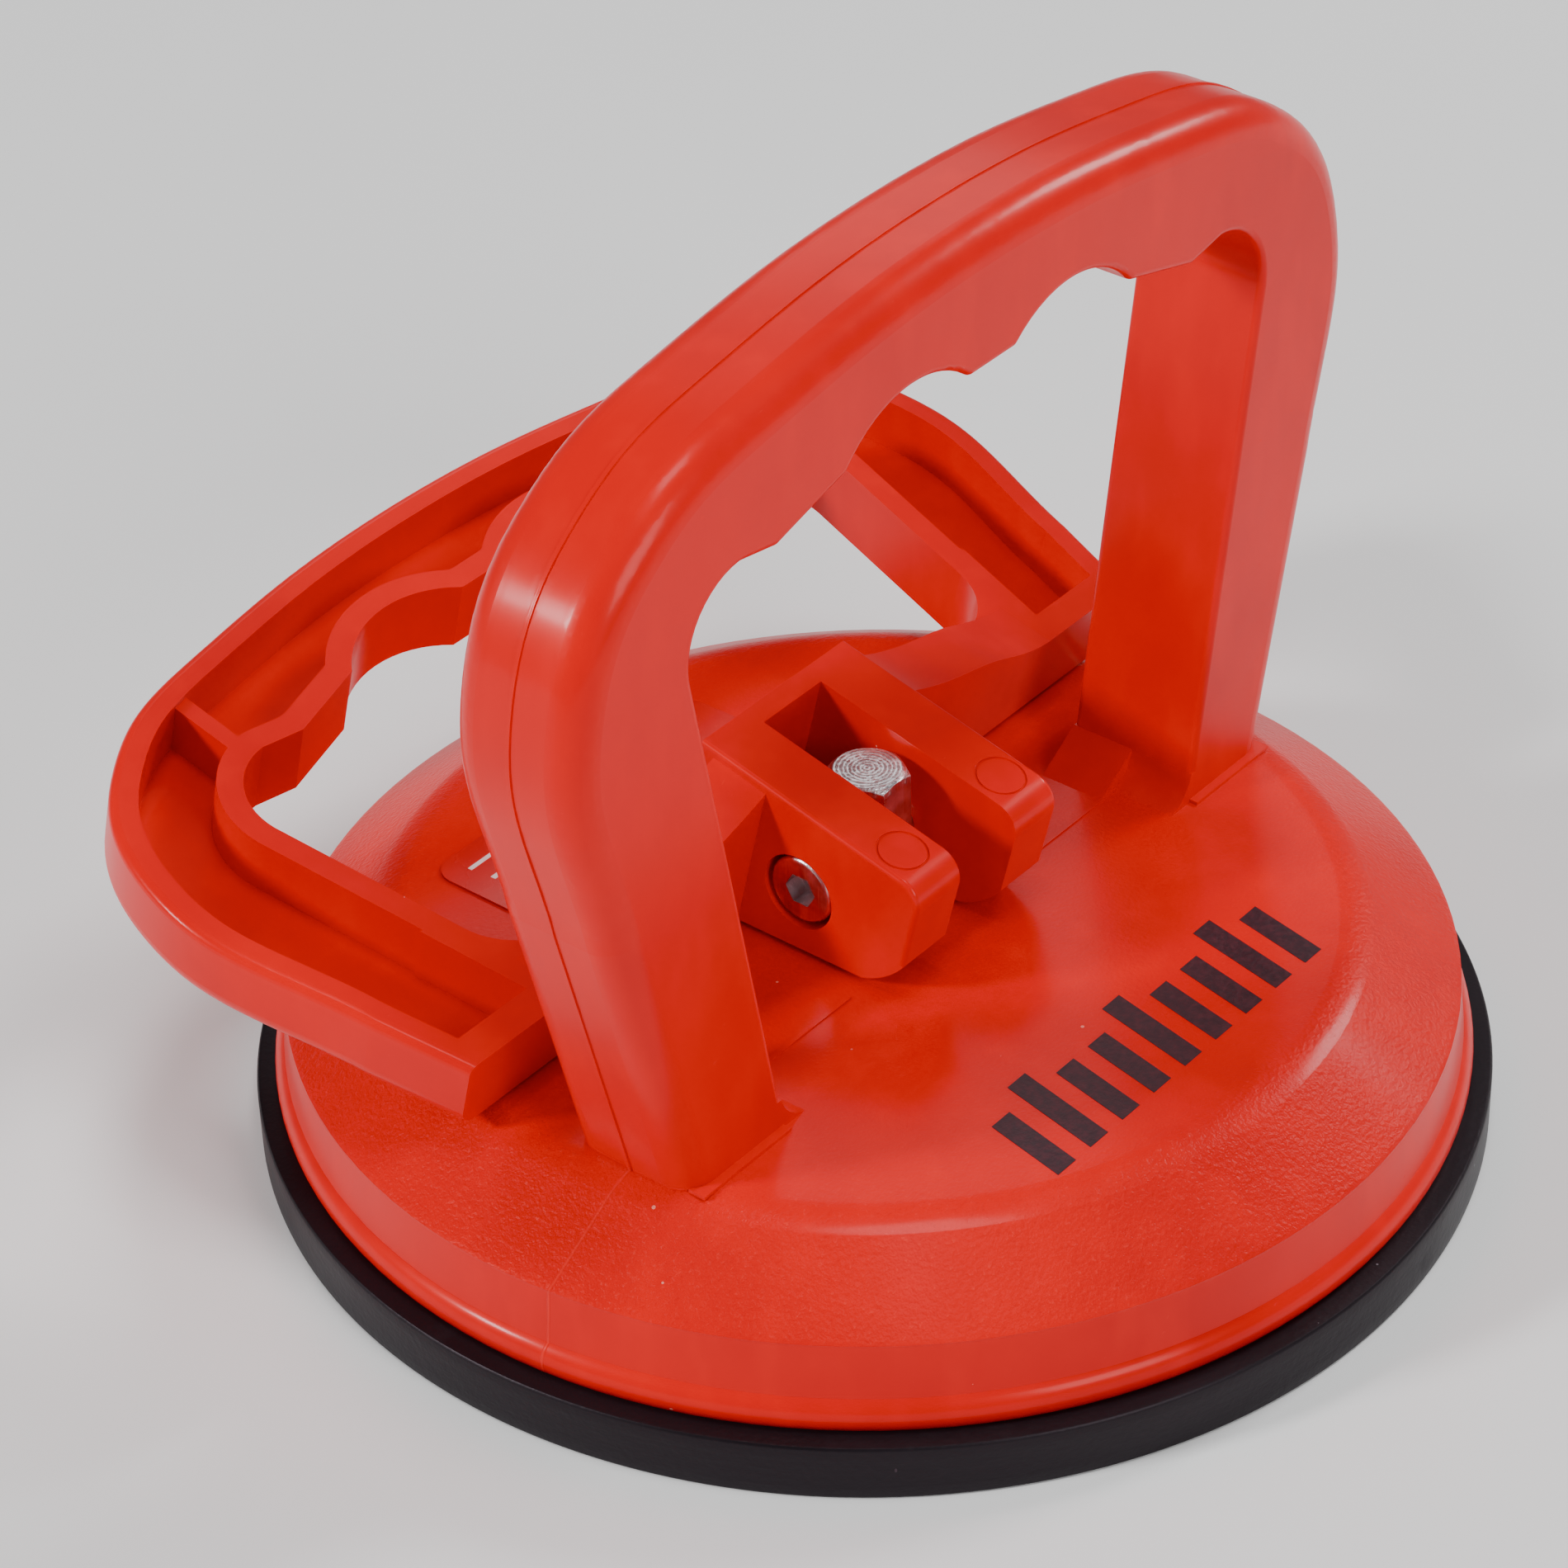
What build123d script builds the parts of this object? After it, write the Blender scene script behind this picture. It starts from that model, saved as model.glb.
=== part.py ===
from build123d import *
import os
from math import cos, hypot, radians, sin

os.makedirs("parts", exist_ok=True)

# Single-cup vacuum lifter. Origin at the centre of the suction face, +Z up, the pivot bolt
# along X, the fixed handle standing in the X-Z plane and the lever folded out towards +Y.

# --- rubber disc -----------------------------------------------------------------------
RUBBER_R = 59.0
RUBBER_H = 5.8
RUBBER_BEVEL = 0.35
SEAL_GROOVES = (44.0, 49.0, 54.0)
GROOVE_W = 0.9
GROOVE_DEPTH = 0.5

# --- steel insert plate and hexagonal stud ---------------------------------------------
PLATE_R = 28.0
PLATE_Z = 2.4
PLATE_T = 2.0
CAVITY_GAP = 0.05
STUD_AF = 7.0
STUD_TOP = 36.0
STUD_FACE_R = 3.2
STUD_CHAMFER = 0.7
SPIGOT_R = 3.0
PIN_HOLE_R = 2.05

# --- housing ---------------------------------------------------------------------------
TOP_Z = 20.8
SHOULDER = (45.73, TOP_Z)
SHOULDER_FILLET = 6.0
CREASE = (55.6, 14.6)
BEAD_GROOVE = (56.1, 9.0)
BEAD_MID = (57.1, 7.3)
BEAD_FOOT = (56.6, RUBBER_H)
CEILING_Z = 18.0
BOSS_R = 9.0
BOSS_BOTTOM = 14.6
GUIDE_AF = STUD_AF + 0.2
RIB_COUNT = 8
RIB_T = 2.0
RIB_BOTTOM = 15.2
RIB_END = 45.0

# --- fixed handle ----------------------------------------------------------------------
HANDLE_Y = -7.8
HANDLE_T = 14.0
HANDLE_ROUND = 3.2
FINGER_ROUND = 0.7
CUSP_ROUND = 0.8
SEAM_H = 0.15
SEAM_W = 0.4
RAMP_LENGTH = 4.5
RAMP_HEIGHT = 3.2
LEDGE_W = 0.9
LEDGE_H = 0.35
PARTING_X = (13.0, 31.0)
PARTING_W = 0.45
PARTING_H = 0.15

# --- lever -----------------------------------------------------------------------------
REST_GAP = 0.6
RUN_GAP = 0.3
EAR_DEPTH = 6.5
PIVOT_Z = TOP_Z + REST_GAP + EAR_DEPTH
LEVER_TILT = 14.0
LIFT_PER_RAD = 5.2
LEVER_SHIFT = 35.6
LOOP_TOP = -0.6
LOOP_BOTTOM = -8.3
BAR_FRONT = 5.7
BAR_BACK = 12.0
OUTER_WALL = 2.7
END_WALL = 2.6
INNER_WALL = 2.5
WEB_T = 2.0
CROSS_RIB_X = 35.0
CROSS_RIB_T = 1.8
CROSS_RIB_DROP = 0.5
LOOP_CORNER = 7.0
RIM_ROUND = 0.9
BELLY_ROUND = 2.0
FORK_W = 21.0
SLOT_W = 8.4
SLOT_BACK = 11.4
FORK_BACK = 13.6
FORK_FRONT = -12.6
FORK_TOP = 9.4
FORK_ROUND = 2.6
EAR_ROUND = 0.5
EJECTOR_R = 2.5
EJECTOR_U = -7.8
EJECTOR_LINE = 0.25

# --- pivot bolt and nut (M4) -----------------------------------------------------------
BOLT_R = 2.0
HEAD_R = 3.5
HEAD_H = 3.9
HEAD_SINK = 0.3
SOCKET_AF = 3.0
SOCKET_DEPTH = 2.0
COUNTERBORE_R = 3.95
NUT_AF = 7.0
NUT_H = 5.0
POCKET_DEPTH = 4.4
NYLON_R = 2.9
NYLON_T = 1.2
BOLT_TIP = 0.6

# --- instruction label -----------------------------------------------------------------
LABEL_X = (-22.0, 15.5)
LABEL_Y = (15.0, 36.0)
LABEL_T = 0.25
LABEL_CORNER = 2.5

# Loop outline shared by the fixed handle and the lever: right half, leg to crown.
LEG_FOOT = (42.6, 16.5)
ARCH = [
    (51.4, 51.0),
    (54.0, 61.2),
    (55.3, 68.5),
    (54.6, 75.4),
    (52.6, 81.2),
    (49.7, 85.4),
    (46.0, 88.6),
    (40.0, 92.1),
    (30.0, 94.5),
    (15.0, 96.6),
    (0.0, 97.3),
]

# Finger side of the loop: right half, leg to crown.
INNER_FOOT = (29.8, 16.5)
INNER_TOP = (40.3, 72.5)
NOTCH_MID = (39.3, 78.3)
NOTCH_END = (33.8, 81.4)
CUSP = (29.2, 80.6)
VALLEY_START = (20.0, 83.1)
VALLEY_MID = (11.6, 87.2)
VALLEY_END = (3.2, 84.3)

TILT_SIN = sin(radians(LEVER_TILT))
TILT_COS = cos(radians(LEVER_TILT))
PIVOT = (0, 0, PIVOT_Z)

# Lever plane: local x is X, local y runs out along the loop, the normal is the loop's top side.
lever_plane = Plane(origin=PIVOT, x_dir=(1, 0, 0), z_dir=(0, -TILT_SIN, TILT_COS))
# Fork plane: local x runs out along the loop, local y is the loop's top side, the normal is X.
fork_plane = Plane(origin=PIVOT, x_dir=(0, TILT_COS, TILT_SIN), z_dir=(1, 0, 0))
# Bolt plane: the normal is X.
bolt_plane = Plane(origin=PIVOT, x_dir=(0, 1, 0), z_dir=(1, 0, 0))


def leg_point(foot, top, height):
    """Point of the straight leg line from foot to top at a height."""
    share = (height - foot[1]) / (top[1] - foot[1])
    return (foot[0] + share * (top[0] - foot[0]), height)


def lowered(point, drop):
    """A sketch point moved down by drop."""
    return (point[0], point[1] - drop)


def moved_out(points, distance):
    """Points of an arch that ends at the crown, each moved square to its neighbours' chord."""
    crown = points[-1]
    ends = [*points, (-points[-2][0], points[-2][1])]
    moved = []
    for index, (x, y) in enumerate(points):
        before = ends[max(index - 1, 0)]
        after = ends[index + 1]
        run_x, run_y = after[0] - before[0], after[1] - before[1]
        length = hypot(run_x, run_y)
        moved.append((x + distance * run_y / length, y - distance * run_x / length))
    moved[-1] = (crown[0], crown[1] + distance)
    return moved


def loop_outline(base, drop, grow=0.0):
    """The filled outer shape of a loop.

    It is cut off level at height base, moved down by drop and made larger by grow all round.
    """
    leg = [leg_point(LEG_FOOT, ARCH[0], base), *ARCH]
    corner, *arch = [lowered(point, drop) for point in moved_out(leg, grow)]
    left_arch = [(-x, y) for x, y in reversed(arch[:-1])]
    with BuildSketch() as outline:
        with BuildLine():
            Line(corner, arch[0])
            Spline(*arch, *left_arch)
            Polyline(left_arch[-1], (-corner[0], corner[1]), corner)
        make_face()
    return outline.sketch


def loop_window(base, drop, corner_round=0.0):
    """The finger opening of a loop.

    It is cut off level at height base and moved down by drop; corner_round rounds its base corners.
    """
    corner = lowered(leg_point(INNER_FOOT, INNER_TOP, base), drop)
    top = lowered(INNER_TOP, drop)
    notch = lowered(NOTCH_END, drop)
    cusp = lowered(CUSP, drop)
    valley = lowered(VALLEY_START, drop)
    middle = lowered(VALLEY_END, drop)
    with BuildSketch() as window:
        with BuildLine():
            Line((0, corner[1]), corner)
            Line(corner, top)
            ThreePointArc(top, lowered(NOTCH_MID, drop), notch)
            Line(notch, cusp)
            Line(cusp, valley)
            ThreePointArc(valley, lowered(VALLEY_MID, drop), middle)
            Line(middle, (0, middle[1]))
            mirror(about=Plane.YZ)
        make_face()
        cusps = [v for v in window.vertices() if v.Y > corner[1] + 40 and abs(v.X) > 1]
        fillet(cusps, CUSP_ROUND)
        if corner_round:
            corners = [v for v in window.vertices() if abs(v.Y - corner[1]) < 0.01 and abs(v.X) > 1]
            fillet(corners, corner_round)
    return window.sketch


def nose_point(turn):
    """Fork-plane point of the cam nose nearest the dome when the lever has turned by turn radians."""
    reach = EAR_DEPTH + REST_GAP - RUN_GAP + LIFT_PER_RAD * turn
    angle = radians(LEVER_TILT) + turn
    u = -reach * sin(angle) - LIFT_PER_RAD * cos(angle)
    n = -reach * cos(angle) + LIFT_PER_RAD * sin(angle)
    return (u, n)


# ---------------------------------------------------------------------------------------
# Rubber disc with its cavity for the steel insert
with BuildPart() as rubber_disc:
    Cylinder(RUBBER_R, RUBBER_H, align=(Align.CENTER, Align.CENTER, Align.MIN))
    chamfer(rubber_disc.edges(), RUBBER_BEVEL)
    with Locations((0, 0, PLATE_Z - CAVITY_GAP)):
        Cylinder(
            PLATE_R + CAVITY_GAP,
            PLATE_T + 2 * CAVITY_GAP,
            align=(Align.CENTER, Align.CENTER, Align.MIN),
            mode=Mode.SUBTRACT,
        )
    with Locations((0, 0, PLATE_Z)):
        Cylinder(4.5, RUBBER_H, align=(Align.CENTER, Align.CENTER, Align.MIN), mode=Mode.SUBTRACT)
    for groove_r in SEAL_GROOVES:
        with BuildSketch(Plane.XY):
            Circle(groove_r + GROOVE_W / 2)
            Circle(groove_r - GROOVE_W / 2, mode=Mode.SUBTRACT)
        extrude(amount=GROOVE_DEPTH, mode=Mode.SUBTRACT)
rubber_disc.part.label = "rubber_disc"
export_step(rubber_disc.part, "parts/rubber_disc.step")

# ---------------------------------------------------------------------------------------
# Steel insert plate, riveted to the stud's spigot
with BuildPart() as insert_plate:
    with BuildSketch(Plane.XY.offset(PLATE_Z)):
        Circle(PLATE_R)
        Circle(SPIGOT_R, mode=Mode.SUBTRACT)
    extrude(amount=PLATE_T)
    chamfer(insert_plate.edges().filter_by(GeomType.CIRCLE).group_by(SortBy.RADIUS)[-1], 0.3)
insert_plate.part.label = "insert_plate"
export_step(insert_plate.part, "parts/insert_plate.step")

# ---------------------------------------------------------------------------------------
# Hexagonal pull stud: bar, turned top chamfer, spigot and cross hole
with BuildPart() as stud_top:
    with BuildSketch(Plane.XZ):
        with BuildLine():
            Polyline(
                (0, PLATE_Z + PLATE_T),
                (STUD_AF, PLATE_Z + PLATE_T),
                (STUD_AF, STUD_TOP - STUD_CHAMFER * (STUD_AF - STUD_FACE_R)),
                (STUD_FACE_R, STUD_TOP),
                (0, STUD_TOP),
                close=True,
            )
        make_face()
    revolve(axis=Axis.Z)

with BuildPart() as pull_stud:
    with BuildSketch(Plane.XY.offset(PLATE_Z + PLATE_T)):
        RegularPolygon(STUD_AF / 2, 6, major_radius=False)
    extrude(amount=STUD_TOP - PLATE_Z - PLATE_T)
    add(stud_top.part, mode=Mode.INTERSECT)
    with BuildSketch(Plane.XY.offset(PLATE_Z)):
        Circle(SPIGOT_R)
    extrude(amount=PLATE_T)
    with BuildSketch(bolt_plane):
        Circle(PIN_HOLE_R)
    extrude(amount=STUD_AF, both=True, mode=Mode.SUBTRACT)
pull_stud.part.label = "pull_stud"
export_step(pull_stud.part, "parts/pull_stud.step")

# ---------------------------------------------------------------------------------------
# Fixed handle loop, moulded in one with the dome
with BuildPart() as handle_loop:
    with BuildSketch(Plane.XZ.offset(-HANDLE_Y - HANDLE_T / 2)):
        add(loop_outline(LEG_FOOT[1], 0))
    extrude(amount=HANDLE_T)
    rim = handle_loop.faces().filter_by(Axis.Y).edges().filter_by(lambda e: e.center().Z > 20)
    fillet(rim, HANDLE_ROUND)
    with BuildSketch(Plane.XZ.offset(-HANDLE_Y)):
        add(loop_outline(LEG_FOOT[1], 0, SEAM_H))
    extrude(amount=SEAM_W / 2, both=True)
    with BuildSketch(Plane.XZ.offset(-HANDLE_Y)):
        add(loop_window(INNER_FOOT[1], 0))
    extrude(amount=HANDLE_T, both=True, mode=Mode.SUBTRACT)
    on_faces = handle_loop.edges(Select.LAST).filter_by(lambda e: abs(e.center().Y - HANDLE_Y) > 6.9)
    fillet(on_faces.filter_by(lambda e: e.center().Z > 20), FINGER_ROUND)

# Foot of one leg: flat ramp behind, hollow ramp in front, on the finger side
with BuildPart() as foot_ramp:
    ramp_x = leg_point(INNER_FOOT, INNER_TOP, TOP_Z)[0]
    wall_x = leg_point(INNER_FOOT, INNER_TOP, TOP_Z + RAMP_HEIGHT)[0]
    with BuildSketch(Plane.XZ.offset(-HANDLE_Y)):
        with BuildLine():
            Polyline(
                (wall_x + 1, TOP_Z - 1),
                (ramp_x - RAMP_LENGTH, TOP_Z - 1),
                (ramp_x - RAMP_LENGTH, TOP_Z),
                (wall_x, TOP_Z + RAMP_HEIGHT),
                (wall_x + 1, TOP_Z + RAMP_HEIGHT),
                close=True,
            )
        make_face()
    extrude(amount=-HANDLE_T / 2)
    with BuildSketch(Plane.XZ.offset(-HANDLE_Y)):
        with BuildLine():
            Polyline((wall_x + 1, TOP_Z + RAMP_HEIGHT), (wall_x + 1, TOP_Z - 1))
            Line((wall_x + 1, TOP_Z - 1), (ramp_x - RAMP_LENGTH, TOP_Z - 1))
            Line((ramp_x - RAMP_LENGTH, TOP_Z - 1), (ramp_x - RAMP_LENGTH, TOP_Z))
            ThreePointArc(
                (ramp_x - RAMP_LENGTH, TOP_Z),
                (ramp_x - 0.9, TOP_Z + 0.8),
                (wall_x, TOP_Z + RAMP_HEIGHT),
            )
            Line((wall_x, TOP_Z + RAMP_HEIGHT), (wall_x + 1, TOP_Z + RAMP_HEIGHT))
        make_face()
    extrude(amount=HANDLE_T / 2)
    front_face = HANDLE_Y - HANDLE_T / 2
    with Locations((37.0, front_face, TOP_Z + LEDGE_H / 2)):
        Box(12.0, 2 * LEDGE_W, LEDGE_H)

# Dome shell with the guide boss and the underside ribs
with BuildPart() as housing:
    with BuildSketch(Plane.XZ):
        with BuildLine():
            Line((0, TOP_Z), SHOULDER)
            Line(SHOULDER, CREASE)
            Line(CREASE, BEAD_GROOVE)
            ThreePointArc(BEAD_GROOVE, BEAD_MID, BEAD_FOOT)
            Polyline(BEAD_FOOT, (52.2, RUBBER_H), (52.2, 13.0), (44.9, CEILING_Z), (0, CEILING_Z))
            Line((0, CEILING_Z), (0, TOP_Z))
        make_face()
    revolve(axis=Axis.Z)
    fillet(housing.edges().sort_by_distance((SHOULDER[0], 0, SHOULDER[1]))[0], SHOULDER_FILLET)
    with BuildSketch(Plane.XY.offset(BOSS_BOTTOM)):
        Circle(BOSS_R)
    extrude(amount=CEILING_Z - BOSS_BOTTOM)
    with PolarLocations(0, RIB_COUNT, start_angle=180 / RIB_COUNT):
        with Locations(((BOSS_R + RIB_END) / 2 - 0.5, 0, (RIB_BOTTOM + CEILING_Z) / 2)):
            Box(RIB_END - BOSS_R + 1, RIB_T, CEILING_Z - RIB_BOTTOM)
    add(handle_loop.part)
    add(foot_ramp.part)
    add(foot_ramp.part.mirror(Plane.YZ))
    with Locations(
        (-sum(PARTING_X) / 2, HANDLE_Y, TOP_Z + PARTING_H / 2),
        (sum(PARTING_X) / 2, HANDLE_Y, TOP_Z + PARTING_H / 2),
    ):
        Box(PARTING_X[1] - PARTING_X[0], PARTING_W, PARTING_H)
    with BuildSketch(Plane.XY.offset(BOSS_BOTTOM)):
        RegularPolygon(GUIDE_AF / 2, 6, major_radius=False)
    extrude(amount=TOP_Z, mode=Mode.SUBTRACT)
housing.part.label = "housing"
export_step(housing.part, "parts/housing.step")

# ---------------------------------------------------------------------------------------
# Lever: channel between the loop's outer and inner wall, with two cross ribs left standing
LOOP_BASE = BAR_FRONT + LEVER_SHIFT
CHANNEL_FLOOR = LOOP_BOTTOM + WEB_T
CHANNEL_H = LOOP_TOP - CHANNEL_FLOOR

with BuildPart() as channel:
    with BuildSketch(lever_plane.offset(CHANNEL_FLOOR)):
        add(loop_outline(LOOP_BASE + END_WALL, LEVER_SHIFT, -OUTER_WALL))
    extrude(amount=CHANNEL_H + 1)
    with BuildSketch(lever_plane.offset(CHANNEL_FLOOR)):
        add(loop_window(BAR_BACK + LEVER_SHIFT, LEVER_SHIFT, LOOP_CORNER))
        offset(amount=INNER_WALL)
    extrude(amount=CHANNEL_H + 1, mode=Mode.SUBTRACT)
    with BuildSketch(lever_plane.offset(CHANNEL_FLOOR)):
        with BuildLine():
            Polyline((-37.2, 5), (37.2, 5), (40.0, 20), (-40.0, 20), close=True)
        make_face()
    extrude(amount=CHANNEL_H + 1, mode=Mode.SUBTRACT)
    with BuildSketch(lever_plane.offset(CHANNEL_FLOOR)):
        with Locations((-CROSS_RIB_X, 52), (CROSS_RIB_X, 52)):
            Rectangle(CROSS_RIB_T, 14)
    extrude(amount=CHANNEL_H - CROSS_RIB_DROP, mode=Mode.SUBTRACT)

# Raised saddle between the fork and the loop's legs
with BuildPart() as saddle:
    with BuildSketch(lever_plane.rotated((90, 0, 0)).offset(-BAR_FRONT)) as saddle_profile:
        with BuildLine():
            Line((0, LOOP_BOTTOM), (36, LOOP_BOTTOM))
            Line((36, LOOP_BOTTOM), (36, LOOP_TOP))
            Spline((36, LOOP_TOP), (33, -0.1), (25.5, 2.9), (19.5, 4.6), (15, 6.2), (9.5, 9.0))
            Line((9.5, 9.0), (0, 9.0))
            mirror(about=Plane.YZ)
        make_face()
    extrude(amount=-(BAR_BACK - BAR_FRONT))

# Fork block with the cam nose
with BuildPart() as fork_block:
    heel = (BAR_FRONT, (-EAR_DEPTH - BAR_FRONT * TILT_SIN) / TILT_COS)
    nose = [nose_point(0.28 + 0.155 * step) for step in range(5)]
    with BuildSketch(fork_plane):
        with BuildLine():
            Polyline((FORK_BACK, LOOP_BOTTOM), (BAR_FRONT, LOOP_BOTTOM), heel, nose[0])
            Spline(*nose)
            Polyline(nose[-1], (FORK_FRONT, nose[-1][1]), (FORK_FRONT, FORK_TOP - FORK_ROUND))
            RadiusArc(
                (FORK_FRONT, FORK_TOP - FORK_ROUND), (FORK_FRONT + FORK_ROUND, FORK_TOP), FORK_ROUND
            )
            Polyline((FORK_FRONT + FORK_ROUND, FORK_TOP), (FORK_BACK, FORK_TOP), (FORK_BACK, LOOP_BOTTOM))
        make_face()
    extrude(amount=FORK_W / 2, both=True)
    flanks = fork_block.faces().filter_by(Axis.X).edges()
    fillet(flanks.filter_by(lambda e: fork_plane.to_local_coords(e.center()).Y > 5), EAR_ROUND)

with BuildPart() as lever_handle:
    with BuildSketch(lever_plane.offset(LOOP_BOTTOM)):
        add(loop_outline(LOOP_BASE, LEVER_SHIFT))
    extrude(amount=LOOP_TOP - LOOP_BOTTOM)
    rims = lever_handle.edges().filter_by(lever_plane).filter_by(lambda e: e.center().Y > 8)
    belly, rim = rims.group_by(Axis(PIVOT, lever_plane.z_dir))
    fillet(belly, BELLY_ROUND)
    fillet(rim, RIM_ROUND)
    with BuildSketch(lever_plane.offset(LOOP_BOTTOM)) as lever_window:
        add(loop_window(BAR_BACK + LEVER_SHIFT, LEVER_SHIFT, LOOP_CORNER))
    extrude(amount=LOOP_TOP - LOOP_BOTTOM, mode=Mode.SUBTRACT)
    add(channel.part, mode=Mode.SUBTRACT)
    add(saddle.part)
    add(fork_block.part)
    with BuildSketch(lever_plane.offset(-20)):
        with Locations((0, SLOT_BACK - 20)):
            Rectangle(SLOT_W, 40)
    extrude(amount=40, mode=Mode.SUBTRACT)
    ear_middle = (FORK_W + SLOT_W) / 4
    with BuildSketch(lever_plane.offset(FORK_TOP)):
        with Locations((-ear_middle, EJECTOR_U), (ear_middle, EJECTOR_U)):
            Circle(EJECTOR_R)
            Circle(EJECTOR_R - EJECTOR_LINE, mode=Mode.SUBTRACT)
    extrude(amount=-0.15, mode=Mode.SUBTRACT)
    with BuildSketch(bolt_plane.offset(-FORK_W / 2)):
        Circle(BOLT_R + 0.05)
    extrude(amount=FORK_W, mode=Mode.SUBTRACT)
    with BuildSketch(bolt_plane.offset(-FORK_W / 2)):
        Circle(COUNTERBORE_R)
    extrude(amount=HEAD_H + HEAD_SINK, mode=Mode.SUBTRACT)
    with BuildSketch(bolt_plane.offset(FORK_W / 2)):
        RegularPolygon(NUT_AF / 2 + 0.05, 6, major_radius=False)
    extrude(amount=-POCKET_DEPTH, mode=Mode.SUBTRACT)
lever_handle.part.label = "lever_handle"
export_step(lever_handle.part, "parts/lever_handle.step")

# ---------------------------------------------------------------------------------------
# Pivot bolt: socket cap screw with its head in the -X ear
HEAD_FACE_X = -FORK_W / 2 + HEAD_SINK
NUT_SEAT_X = FORK_W / 2 - POCKET_DEPTH
BOLT_END_X = NUT_SEAT_X + NUT_H + BOLT_TIP

with BuildPart() as pivot_bolt:
    with BuildSketch(bolt_plane.offset(HEAD_FACE_X)):
        Circle(HEAD_R)
    extrude(amount=HEAD_H)
    fillet(pivot_bolt.edges().sort_by(Axis.X)[0], 0.45)
    with BuildSketch(bolt_plane.offset(HEAD_FACE_X)):
        RegularPolygon(SOCKET_AF / 2, 6, major_radius=False)
    extrude(amount=SOCKET_DEPTH, mode=Mode.SUBTRACT)
    with BuildSketch(bolt_plane.offset(HEAD_FACE_X + HEAD_H)):
        Circle(BOLT_R)
    extrude(amount=BOLT_END_X - HEAD_FACE_X - HEAD_H)
    chamfer(pivot_bolt.edges().sort_by(Axis.X)[-1], 0.4)
pivot_bolt.part.label = "pivot_bolt"
export_step(pivot_bolt.part, "parts/pivot_bolt.step")

# Lock nut in the hexagonal pocket of the +X ear
with BuildPart() as pivot_nut:
    with BuildSketch(bolt_plane.offset(NUT_SEAT_X)):
        RegularPolygon(NUT_AF / 2, 6, major_radius=False)
        Circle(BOLT_R, mode=Mode.SUBTRACT)
    extrude(amount=NUT_H - NYLON_T - 0.3)
    with BuildSketch(bolt_plane.offset(NUT_SEAT_X + NUT_H - NYLON_T - 0.3)):
        Circle(NUT_AF / 2 - 0.1)
        Circle(NYLON_R, mode=Mode.SUBTRACT)
    extrude(amount=NYLON_T + 0.3)
pivot_nut.part.label = "pivot_nut"
export_step(pivot_nut.part, "parts/pivot_nut.step")

# Nylon locking ring in the nut's crown
with BuildPart() as nut_lock_ring:
    with BuildSketch(bolt_plane.offset(NUT_SEAT_X + NUT_H - NYLON_T - 0.3)):
        Circle(NYLON_R)
        Circle(BOLT_R, mode=Mode.SUBTRACT)
    extrude(amount=NYLON_T)
nut_lock_ring.part.label = "nut_lock_ring"
export_step(nut_lock_ring.part, "parts/nut_lock_ring.step")

# ---------------------------------------------------------------------------------------
# Instruction label stuck on the dome behind the fork
with BuildPart() as instruction_label:
    with BuildSketch(Plane.XY.offset(TOP_Z)):
        with Locations(((LABEL_X[0] + LABEL_X[1]) / 2, (LABEL_Y[0] + LABEL_Y[1]) / 2)):
            RectangleRounded(LABEL_X[1] - LABEL_X[0], LABEL_Y[1] - LABEL_Y[0], LABEL_CORNER)
    extrude(amount=LABEL_T)
instruction_label.part.label = "instruction_label"
export_step(instruction_label.part, "parts/instruction_label.step")
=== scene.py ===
"""Dresses the vacuum lifter: a rubber cup, a red dome with a fixed loop and a hinged loop."""

import logging
import math
import random
from dataclasses import dataclass
from enum import Enum
from typing import Iterable, Sequence

import bmesh
import bpy
from mathutils import Matrix, Vector
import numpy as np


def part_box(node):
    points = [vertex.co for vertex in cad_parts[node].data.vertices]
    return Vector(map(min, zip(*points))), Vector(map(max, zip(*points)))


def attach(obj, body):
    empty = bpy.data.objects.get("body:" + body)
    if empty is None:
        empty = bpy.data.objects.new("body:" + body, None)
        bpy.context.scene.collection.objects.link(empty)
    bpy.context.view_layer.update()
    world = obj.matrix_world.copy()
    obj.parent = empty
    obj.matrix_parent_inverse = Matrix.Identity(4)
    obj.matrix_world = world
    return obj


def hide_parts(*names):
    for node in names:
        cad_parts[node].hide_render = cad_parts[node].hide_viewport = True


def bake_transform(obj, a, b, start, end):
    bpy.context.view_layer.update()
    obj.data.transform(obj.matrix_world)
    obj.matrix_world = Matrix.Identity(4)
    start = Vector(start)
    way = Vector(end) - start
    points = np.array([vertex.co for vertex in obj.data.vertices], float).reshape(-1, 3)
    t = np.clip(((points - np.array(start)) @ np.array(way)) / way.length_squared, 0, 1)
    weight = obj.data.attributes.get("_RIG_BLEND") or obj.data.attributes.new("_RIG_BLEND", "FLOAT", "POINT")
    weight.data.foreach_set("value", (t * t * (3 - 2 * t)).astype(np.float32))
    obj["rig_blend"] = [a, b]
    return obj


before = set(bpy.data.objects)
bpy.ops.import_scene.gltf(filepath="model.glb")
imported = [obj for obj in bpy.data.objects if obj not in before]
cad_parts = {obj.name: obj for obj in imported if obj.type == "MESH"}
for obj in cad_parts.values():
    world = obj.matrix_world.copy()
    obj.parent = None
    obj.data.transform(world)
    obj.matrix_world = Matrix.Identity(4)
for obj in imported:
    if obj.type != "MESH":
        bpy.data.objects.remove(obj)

LOG = logging.getLogger("vacuum_lifter")
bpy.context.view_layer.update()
DISC_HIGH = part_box("rubber_disc")[1]
PLATE_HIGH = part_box("insert_plate")[1]
STUD_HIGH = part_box("pull_stud")[1]
LABEL_LOW, LABEL_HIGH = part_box("instruction_label")

Color = tuple[float, float, float]
Point = tuple[float, float, float]
Outline = list[tuple[float, float]]


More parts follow.
